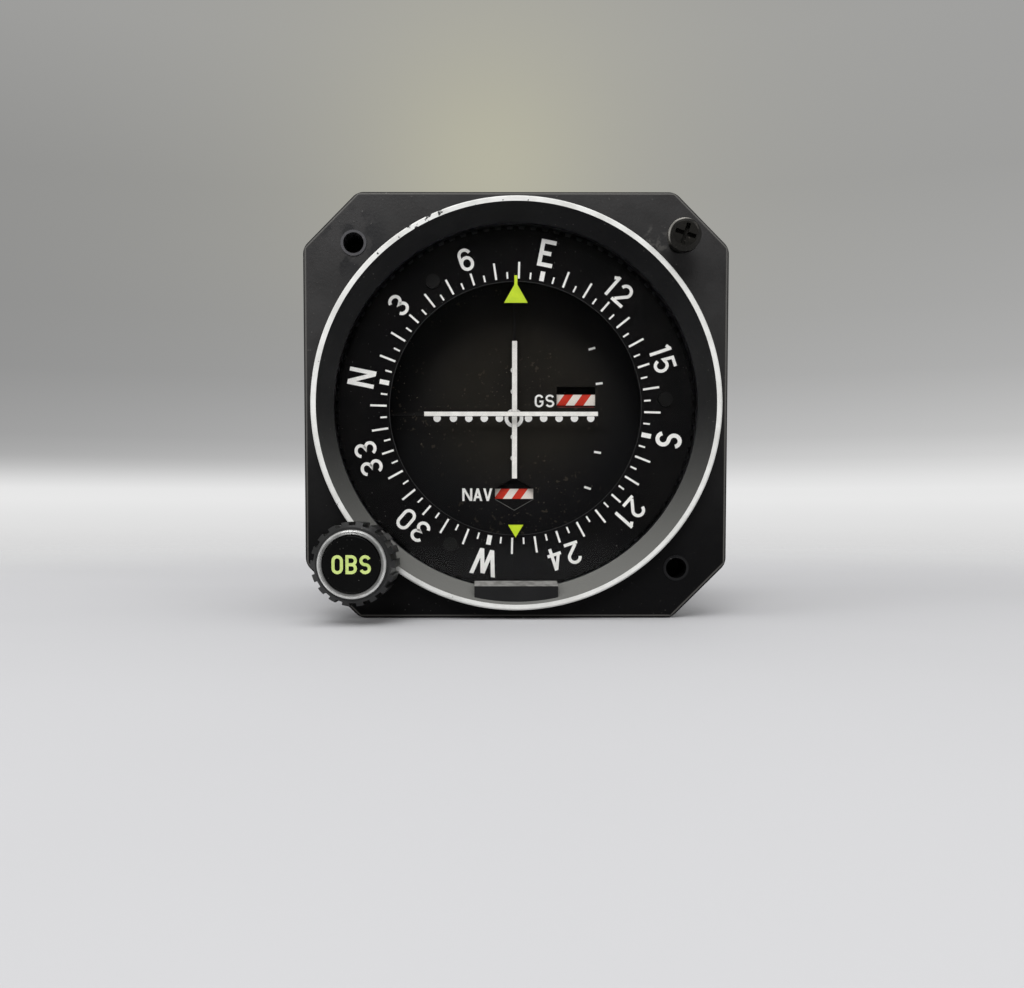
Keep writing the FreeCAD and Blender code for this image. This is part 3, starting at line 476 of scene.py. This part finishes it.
def dress_metal_parts():
    """Turned, plated and anodised parts."""
    dress(metal("dark_anodised", rgb(62, 62, 64), rgb(84, 84, 86), 0.4, 0.5),
          "lens_retainer", "card_bearing_ring")
    dress(metal("clear_anodised", rgb(170, 170, 172), rgb(205, 205, 207), 0.32, 0.45),
          "dial_posts", "lamp_holders", "frame_standoffs", "cover_standoffs")
    dress(metal("turned_brass", rgb(186, 150, 84), rgb(220, 188, 120), 0.25, 0.36, (1.0, 6.0, 1.0)),
          "obs_bushing", "cdi_counterweight", "gs_counterweight")
    dress(metal("ground_steel", rgb(168, 168, 170), rgb(204, 204, 206), 0.2, 0.3, (1.0, 9.0, 1.0)),
          "obs_shaft", "cdi_shaft", "gs_shaft", "nav_flag_shaft", "gs_flag_shaft", "knob_set_screw")
    dress(metal("bright_zinc", rgb(172, 174, 178), rgb(214, 214, 214), 0.26, 0.38),
          "cover_screws", "jack_screws", "connector_shell")


def dress_case():
    """Case, lamps and the circuit board."""
    dress(wrinkle_look(), "case", "rear_cover", "gear_cover")
    dress(bulb_look(), "lamps")
    dress(board_look(), "circuit_board")
    dress(painted("blue_sleeve", rgb(26, 48, 92), rgb(40, 66, 118), 0.25, 0.35), "board_capacitors")


def strip(points, width, closed=False):
    """Widen a run of points into quads with mitred corners."""
    # The limit keeps the mitre of a sharp corner short.
    shortest, mitre_limit = 1e-9, 0.55
    count = len(points)
    edges = []
    for number, point in enumerate(points):
        before = points[(number - 1) % count] if closed or number else point
        after = points[(number + 1) % count] if closed or number < count - 1 else point
        first = Vector(point) - Vector(before)
        second = Vector(after) - Vector(point)
        first = (first if first.length > shortest else second).normalized()
        second = (second if second.length > shortest else first).normalized()
        middle = (first + second).normalized()
        normal = Vector((-middle.y, middle.x))
        reach = width / 2 / max(normal.dot(Vector((-first.y, first.x))), mitre_limit)
        edges.append((Vector(point) - normal * reach, Vector(point) + normal * reach))
    quads = []
    for number in range(count if closed else count - 1):
        low, high = edges[number]
        next_low, next_high = edges[(number + 1) % count]
        quads.append([low, next_low, next_high, high])
    return quads


def arc(across, up, wide, high, start, end, steps=14):
    """Points along part of an ellipse, from one angle to another in degrees."""
    points = []
    for number in range(steps + 1):
        angle = math.radians(start + (end - start) * number / steps)
        points.append((across + wide * math.cos(angle), up + high * math.sin(angle)))
    return points


def number_runs(wide, high, edge):
    """Centre lines of the numbers, each with whether it is closed."""
    half = wide / 2
    quarter = high / 4
    top = high - half
    round_top = arc(half, top, half, half, 0, 180)
    round_foot = arc(half, half, half, half, 180, 360)
    return {
        "0": [(round_top + round_foot, True)],
        "1": [([(wide, -edge), (wide, high + edge)], False),
              ([(wide + 0.2 * edge, high + 0.17 * edge), (-0.25 * wide, high - 0.8 * wide)], False)],
        "2": [(arc(half, top, half, half, 172, -32) + [(0.1 * wide, edge)], False),
              ([(-edge, 0), (wide + edge, 0)], False)],
        "3": [(arc(half, high - quarter, half, quarter, 165, -90)
               + arc(half, quarter, half, quarter, 90, -165)[1:], False)],
        "4": [([(0.74 * wide, -edge), (0.74 * wide, high + edge)], False),
              ([(-edge, 0.27 * high), (wide + edge, 0.27 * high)], False)],
        "5": [([(0.95 * wide, high), (0.1 * wide, high), (0.04 * wide, 0.52 * high)]
               + arc(half, 0.31 * high, half, 0.31 * high, 128, -160), False)],
        "6": [(arc(half, 0.3 * high, half, 0.3 * high, 0, 360)[:-1], True),
              ([(0, 0.32 * high)] + arc(half, top, half, half, 180, 15), False)],
    }


def letter_runs(wide, high, edge):
    """Centre lines of the letters, each with whether it is closed."""
    half = wide / 2
    quarter = high / 4
    top = high - half
    round_top = arc(half, top, half, half, 0, 180)
    round_foot = arc(half, half, half, half, 180, 360)
    bend = arc(half, high - quarter, half, quarter, 20, 270)
    bend += arc(half, quarter, half, quarter, 90, -160)[1:]
    return {
        "O": [(round_top + round_foot, True)],
        "E": [([(wide + edge, high), (0, high), (0, 0), (wide + edge, 0)], False),
              ([(edge, 0.5 * high), (0.9 * wide, 0.5 * high)], False)],
        "S": [(bend, False)],
        "W": [],
        "A": [([(0.2 * wide, 0.27 * high), (0.8 * wide, 0.27 * high)], False)],
        "V": [],
        "G": [(arc(half, top, half, half, 20, 180) + arc(half, half, half, half, 180, 360)
               + [(wide, 0.45 * high), (1.1 * half, 0.45 * high)], False)],
        "N": [([(0, -edge), (0, high + edge)], False), ([(wide, -edge), (wide, high + edge)], False)],
        "B": [([(0, -edge), (0, high + edge)], False),
              ([(edge, high)] + arc(wide - quarter, high - quarter, quarter, quarter, 90, -90)
               + [(edge, 2 * quarter)], False),
              ([(edge, 2 * quarter)] + arc(wide - quarter, quarter, quarter, quarter, 90, -90)[1:]
               + [(edge, 0)], False)],
    }


def slants(wide, high, edge):
    """Slanted strokes that end level, each from its foot to its top."""
    half = wide / 2
    return {
        "4": [(0.1 * wide, 0.27 * high, 0.74 * wide, high + edge)],
        "W": [(0.27 * wide, -edge, 0, high + edge), (0.27 * wide, -edge, half, high),
              (0.73 * wide, -edge, half, high), (0.73 * wide, -edge, wide, high + edge)],
        "A": [(0, -edge, half, high + edge), (wide, -edge, half, high + edge)],
        "V": [(half, -edge, 0, high + edge), (half, -edge, wide, high + edge)],
        "N": [(wide - 0.2 * edge, -edge, 0.2 * edge, high + edge)],
    }


def character(sign, wide, high, stroke):
    """Quads of one letter or number, measured between its centre lines."""
    edge = stroke / 2
    table = number_runs(wide, high, edge) if sign.isdigit() else letter_runs(wide, high, edge)
    layers = [strip(points, stroke, closed) for points, closed in table[sign]]
    for start, low, end, rise in slants(wide, high, edge).get(sign, ()):
        reach = edge * math.hypot(end - start, rise - low) / (rise - low)
        layers.append([[Vector((start - reach, low)), Vector((start + reach, low)),
                        Vector((end + reach, rise)), Vector((end - reach, rise))]])
    return layers


def word(text, wide, high, stroke, gap):
    """Layers of quads for a word, centred on its own middle."""
    width_shares = {"1": 0.3, "W": 2.0, "N": 1.2, "A": 1.05, "V": 1.05}
    widths = [wide * width_shares.get(sign, 1.0) for sign in text]
    place = -(sum(widths) + (len(text) - 1) * (stroke + gap)) / 2
    layers = []
    for sign, width in zip(text, widths):
        for layer in character(sign, width, high, stroke):
            shift = Vector((place, -high / 2))
            layers.append([[corner + shift for corner in quad] for quad in layer])
        place += width + stroke + gap
    return layers


def turned(layers, radius, angle):
    """Stand a word on a circle, its top outwards, at an angle clockwise from the top."""
    out = Vector((math.sin(angle), math.cos(angle)))
    side = Vector((math.cos(angle), -math.sin(angle)))
    return [[[out * (radius + corner.y) + side * corner.x for corner in quad] for quad in layer]
            for layer in layers]


def moved(layers, across, up):
    shift = Vector((across, up))
    return [[[corner + shift for corner in quad] for quad in layer] for layer in layers]


def disc(across, up, radius, inner=0.0, steps=40):
    """Quads of a spot, or of a ring where it has an inner radius."""
    if inner:
        middle = (radius + inner) / 2
        return strip(arc(across, up, middle, middle, 0, 360, steps)[:-1], radius - inner, True)
    return [[Vector(point) for point in arc(across, up, radius, radius, 0, 360, steps)[:-1]]]


def area(polygon):
    """Twice the area of a polygon, negative where it runs clockwise."""
    total = 0.0
    for number, corner in enumerate(polygon):
        following = polygon[(number + 1) % len(polygon)]
        total += corner[0] * following[1] - following[0] * corner[1]
    return total


def piece(name, points, faces, material, body):
    """Make a mesh that rides a body."""
    mesh = bpy.data.meshes.new(name)
    mesh.from_pydata([[part * MM for part in point] for point in points], [], faces)
    mesh.update()
    mesh.materials.append(material)
    thing = bpy.data.objects.new(name, mesh)
    bpy.context.scene.collection.objects.link(thing)
    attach(thing, body)
    return thing


def printed(name, layers, face, material, body):
    """Lay printed shapes just in front of a face; crossing strokes lie in layers."""
    gap, step, levels = 0.015, 0.002, 4
    points, faces = [], []
    for number, layer in enumerate(layers):
        depth = face - gap - step * (number % levels)
        for polygon in layer:
            corners = polygon if area(polygon) > 0 else polygon[::-1]
            faces.append(list(range(len(points), len(points) + len(corners))))
            points += [(corner[0], depth, corner[1]) for corner in corners]
    piece(name, points, faces, material, body)


def lathe(name, profile, place, material, body, steps):
    """Turn a closed profile of radius and depth about an axis along Y."""
    count = len(profile)
    points, faces = [], []
    for number in range(steps):
        angle = 2 * math.pi * number / steps
        for radius, depth in profile:
            points.append((place[0] + radius * math.cos(angle), depth,
                           place[1] + radius * math.sin(angle)))
    for number in range(steps):
        following = (number + 1) % steps
        for corner in range(count):
            other = (corner + 1) % count
            faces.append([number * count + corner, number * count + other,
                          following * count + other, following * count + corner])
    return piece(name, points, faces, material, body)


def card_mark(degree):
    """Quad of the card's mark at a number of degrees, its foot near the card's inner edge."""
    foot = 25.6
    if degree % 90 == 0:
        length, width = 1.9, 0.92
    elif degree % 30 == 0:
        length, width = 2.4, 0.4
    elif degree % 10 == 0:
        length, width = 3.25, 0.4
    else:
        length, width = 1.3, 0.33
    mark = [Vector((-width / 2, 0)), Vector((width / 2, 0)), Vector((width / 2, length)),
            Vector((-width / 2, length))]
    return turned([[mark]], foot, math.radians(degree - COURSE))


def card_label(degree):
    """Number or letter of the card at a number of degrees."""
    angle = math.radians(degree - COURSE)
    if degree % 90:
        number = word(str(degree // 10), wide=2.15, high=3.85, stroke=0.62, gap=1.0)
        return turned(number, radius=30.85, angle=angle)
    letter = word("NESW"[degree // 90], wide=2.2, high=4.5, stroke=0.8, gap=0.0)
    return turned(letter, radius=31.1, angle=angle)


def card_print(ink):
    """Scale, numbers and letters of the compass card, and the light on its inner edge."""
    layers = []
    for degree in range(0, 360, 5):
        layers += card_mark(degree)
    for degree in range(0, 360, 30):
        layers += card_label(degree)
    printed("card_print", layers, CARD_FACE, ink, "card")
    grey = print_look("card_edge_light", rgb(19, 19, 19), rgb(30, 30, 29))
    edge = [disc(0.0, 0.0, radius=25.11, inner=25.01, steps=120)]
    printed("card_edge", edge, CARD_FACE, grey, "card")


def deviation_dots():
    """Centre ring with a row of dots to its sides and two more above and below."""
    middle, level, centre = -0.07, -0.92, -0.1
    layers = [disc(middle, level, radius=1.95, inner=1.2)]
    for away in (3.02, 6.19, 9.4, 12.6, 16.0):
        for side in (-1, 1):
            layers.append(disc(middle + side * away, level, radius=0.78))
    for away in (4.7, 9.1):
        for side in (1, -1):
            layers.append(disc(middle, centre + side * away, radius=0.68))
    return layers


def glide_marks():
    """Dashes at the right that lie along the glide slope needle as it passes them."""
    half_length, width = 0.72, 0.45
    layers = []
    for place in ((16.1, 13.44), (17.65, 6.26), (17.38, -8.0), (15.32, -15.4)):
        spot = Vector(place)
        away = (spot - GS_PIVOT).normalized() * half_length
        layers.append(strip([spot - away, spot + away], width))
    return layers


def dial_print(ink):
    """Marks and the two words on the dial."""
    layers = deviation_dots() + glide_marks()
    layers += moved(word("GS", wide=1.42, high=2.24, stroke=0.4, gap=0.42), 6.28, 2.66)
    layers += moved(word("NAV", wide=1.36, high=2.16, stroke=0.46, gap=0.2), -7.72, -16.8)
    printed("dial_print", layers, DIAL_FACE, ink, "housing")


def window_edges():
    """Light caught on the lower edges of the two windows."""
    grey = print_look("window_edge_light", rgb(70, 70, 68), rgb(96, 94, 90))
    layers = [strip([(-4.0, -17.75), (0.0, -20.05), (4.0, -17.75)], 0.13)]
    printed("nav_window_edge", layers, DIAL_FACE, grey, "housing")
    red = print_look("window_edge_red", rgb(92, 26, 20), rgb(124, 38, 30))
    layers = [strip([(8.95, 1.4), (16.6, 1.4)], 0.12)]
    printed("gs_window_edge", layers, DIAL_FACE, red, "housing")


def needle_bars():
    """White bars painted on the pointing ends of the two needles."""
    white = print_look("needle_white_paint", rgb(222, 220, 214), rgb(238, 236, 230))
    upright = [strip([(0.0, -13.5), (0.0, 14.7)], 1.03)]
    printed("cdi_bar", upright, CDI_FACE, white, "cdi_pointer")
    level = [strip([(-18.5, -0.4), (17.0, -0.4)], 0.88)]
    printed("gs_bar", level, GS_FACE, white, "gs_pointer")


def flag_arrows(ink):
    """Arrows on the navigation vane that swing into its window."""
    rest, swing, radius = 173.8, 13.0, 22.1
    half_base, back, tip = 2.4, 1.1, 1.6
    layers = []
    for way in (1, -1):
        angle = math.radians(rest - way * swing)
        out = Vector((math.cos(angle), math.sin(angle)))
        middle = NAV_PIVOT + radius * out
        along = Vector((-out.y, out.x)) * way
        layers.append([[middle - out * half_base - along * back,
                        middle + out * half_base - along * back, middle + along * tip]])
    printed("flag_arrows", layers, FLAG_FACE, ink, "nav_vane")


def knob_word():
    """Word on the knob's cap in yellow green."""
    ink = print_look("knob_ink", rgb(176, 196, 104), rgb(198, 214, 130))
    layers = moved(word("OBS", wide=1.5, high=2.85, stroke=0.55, gap=0.45), *KNOB_PLACE)
    printed("knob_word", layers, CAP_FACE, ink, "course_knob")


def collar_ring():
    """White line on the collar's front edge."""
    profile = [(38.38, -8.03), (38.38, -7.99), (39.14, -7.99), (39.4, -7.74), (39.4, -7.5),
               (39.43, -7.5), (39.43, -7.76), (39.17, -8.03)]
    lathe("collar_ring", profile, (0.0, 0.0), ring_look(), "housing", steps=240)


def hole_nuts():
    """Blind nuts behind the two open screw holes."""
    dark = painted("nut_black", rgb(6, 6, 6), rgb(12, 12, 12), 0.5, 0.65, specular=0.1)
    profile = [(1.99, 0.01), (2.9, 0.01), (2.9, 5.0), (0.02, 5.0), (0.02, 4.4), (1.99, 4.4)]
    for name, place in (("left_hole_nut", (-HOLE, HOLE)), ("right_hole_nut", (HOLE, -HOLE))):
        lathe(name, profile, place, dark, "housing", steps=48)


def trim_ring():
    """Grooved bright ring on the knob."""
    profile = [(6.23, -21.0), (6.23, -21.78), (6.1, -21.97), (5.92, -22.0), (5.84, -21.82),
               (5.7, -21.82), (5.62, -21.98), (5.45, -22.0), (5.33, -21.82), (5.33, -21.0)]
    ring = lathe("turned_trim_ring", profile, KNOB_PLACE, trim_look(), "course_knob",
                 steps=120)
    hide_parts("knob_trim_ring")


def floor_look():
    """Pale floor that gives way to the world's own floor with distance, in metres."""
    look = Look("pale_floor")
    reach = look.length(look.deep, look.across)
    near = look.mottle(rgb(183, 183, 185), rgb(188, 188, 190), 3.0)
    look.colour(look.mix(look.spread(reach, 0.12, 0.5), near, rgb(200, 200, 201)))
    look.rough(0.7, 0.85, 5.0)
    look.put(look.shader.inputs["Alpha"], look.spread(look.sum("DIVIDE", 1.0, reach), 0.4, 4.5))
    return look.material


def make_floor():
    """Plain round floor under the flange, in metres."""
    radius, steps = 3.0, 64
    rim = [(*point, FLOOR) for point in arc(0.0, 0.0, radius, radius, 0, 360, steps)[:-1]]
    mesh = bpy.data.meshes.new("floor")
    mesh.from_pydata(rim, [], [list(range(steps))])
    mesh.materials.append(floor_look())
    floor = bpy.data.objects.new("floor", mesh)
    bpy.context.scene.collection.objects.link(floor)


class Sky:
    """Nodes of the world, wired one after another."""

    def __init__(self):
        world = bpy.data.worlds.new("studio")
        world.use_nodes = True
        bpy.context.scene.world = world
        self.tree = world.node_tree
        self.tree.nodes.clear()

    def node(self, kind, inputs=(), **settings):
        """Make a node and give its numbered inputs a link or a value each."""
        node = self.tree.nodes.new(kind)
        for name, value in settings.items():
            setattr(node, name, value)
        for socket, value in inputs:
            feed(self.tree, node.inputs[socket], value)
        return node

    def range(self, value, low, high, first, last, way="SMOOTHSTEP"):
        rows = ((0, value), (1, low), (2, high), (3, first), (4, last))
        return self.node("ShaderNodeMapRange", rows, interpolation_type=way).outputs[0]

    def sum(self, operation, first, second):
        return self.node("ShaderNodeMath", ((0, first), (1, second)), operation=operation).outputs[0]


def wall_tone(sky, up):
    """Grey of the wall and the far floor by the height of the line of sight."""
    tones = ((-0.1, 214), (-0.03, 217), (0.0, 226), (0.015, 232), (0.025, 231), (0.034, 220), (0.044, 204),
             (0.053, 191), (0.072, 178), (0.128, 161), (0.183, 155), (0.287, 150), (0.4, 157))
    foot, top = tones[0][0], tones[-1][0]
    ramp = sky.node("ShaderNodeValToRGB", ((0, sky.range(up, foot, top, 0.0, 1.0, "LINEAR")),))
    steps = ramp.color_ramp.elements
    for number, (rise, tone) in enumerate(tones):
        place = (rise - foot) / (top - foot)
        step = steps[number] if number < 2 else steps.new(place)
        step.position = place
        step.color = rgb(tone, tone, tone)
    return ramp.outputs[0]


def warm_glow(sky, across, up, wall):
    """Warm light on the wall above the instrument, weaker with distance."""
    height, size = 0.31, 0.014
    rise = sky.sum("SUBTRACT", up, height)
    squares = sky.sum("ADD", sky.sum("MULTIPLY", rise, rise), sky.sum("MULTIPLY", across, across))
    warm = sky.sum("DIVIDE", size, sky.sum("ADD", squares, size))
    warm = sky.sum("MULTIPLY", warm, sky.range(up, 0.05, 0.25, 0.0, 1.0))
    inputs = ((0, warm), (6, wall), (7, rgb(180, 178, 161)))
    return sky.node("ShaderNodeMix", inputs, data_type="RGBA").outputs[2]


def wall_level(sky, across, deep, up, glossy):
    """Strength of the wall: more at the right, low down, and less where it reflects in front."""
    low = sky.sum("MULTIPLY", sky.range(up, 0.02, 0.06, 0.0, 1.0),
                  sky.range(up, 0.05, 0.44, 1.0, 0.0, "LINEAR"))
    side = sky.sum("MULTIPLY", low, sky.range(across, -0.45, 0.45, -0.24, 0.24, "LINEAR"))
    front = sky.sum("MULTIPLY", sky.range(deep, -0.85, 0.15, 0.9, 0.0), glossy)
    return sky.sum("ADD", sky.sum("SUBTRACT", 1.0, front), side)


def make_world():
    """Grey wall that runs softly into a pale floor; even light from above for the rest."""
    sky = Sky()
    place = sky.node("ShaderNodeTexCoord").outputs["Generated"]
    across, deep, up = sky.node("ShaderNodeSeparateXYZ", ((0, place),)).outputs
    path = sky.node("ShaderNodeLightPath").outputs
    wall = warm_glow(sky, across, up, wall_tone(sky, up))
    level = wall_level(sky, across, deep, up, path["Is Glossy Ray"])
    seen = sky.node("ShaderNodeBackground", ((0, wall), (1, level))).outputs[0]
    white = (1.0, 1.0, 1.0, 1.0)
    strength = sky.range(up, -0.3, 0.8, 0.22, 0.95)
    light = sky.node("ShaderNodeBackground", ((0, white), (1, strength))).outputs[0]
    shown = sky.sum("MAXIMUM", path["Is Camera Ray"], path["Is Glossy Ray"])
    shown = sky.sum("MAXIMUM", shown, path["Is Transmission Ray"])
    choice = sky.node("ShaderNodeMixShader", ((0, shown), (1, light), (2, seen))).outputs[0]
    sky.node("ShaderNodeOutputWorld", ((0, choice),))


def add_lamp(name, place, size, power):
    """Round lamp that looks at the middle of the face, its place and size in metres."""
    lamp = bpy.data.lights.new(name, "AREA")
    lamp.shape = "DISK"
    lamp.size = size
    lamp.energy = power
    thing = bpy.data.objects.new(name, lamp)
    thing.location = place
    thing.rotation_euler = (-Vector(place)).to_track_quat("-Z", "Y").to_euler()
    bpy.context.scene.collection.objects.link(thing)


def make_lights():
    add_lamp("overhead_lamp", (0.05, -0.25, 0.95), size=0.8, power=2.4)
    add_lamp("front_lamp", (-0.2, -1.4, 1.18), size=0.95, power=15.5)
    add_lamp("left_lamp", (-0.8, -0.5, 0.4), size=0.6, power=1.4)


def place_camera():
    """Camera at the photo's viewing angle, fitted to places measured on its face, in metres."""
    camera = bpy.data.objects.new("camera", bpy.data.cameras.new("camera"))
    camera.data.sensor_width = 36.0
    camera.data.lens = 37.04
    camera.data.shift_x = 0.019
    camera.data.shift_y = 0.0733
    camera.data.clip_start = 0.01
    camera.location = (-0.0053, -0.2107, -0.0213)
    yaw, pitch = math.radians(0.2), math.radians(-2.87)
    look = Vector((math.sin(yaw) * math.cos(pitch), math.cos(yaw) * math.cos(pitch), math.sin(pitch)))
    camera.rotation_euler = look.to_track_quat("-Z", "Y").to_euler()
    bpy.context.scene.collection.objects.link(camera)
    bpy.context.scene.camera = camera


bpy.context.scene.view_settings.view_transform = "Standard"
place_camera()
make_world()
make_lights()
make_floor()
dress_front()
dress_dial()
dress_knob()
dress_black_parts()
dress_metal_parts()
dress_case()
WHITE_INK = print_look("white_ink", rgb(224, 223, 219), rgb(240, 239, 235))
card_print(WHITE_INK)
dial_print(WHITE_INK)
window_edges()
flag_arrows(WHITE_INK)
needle_bars()
hole_nuts()
knob_word()
collar_ring()
trim_ring()
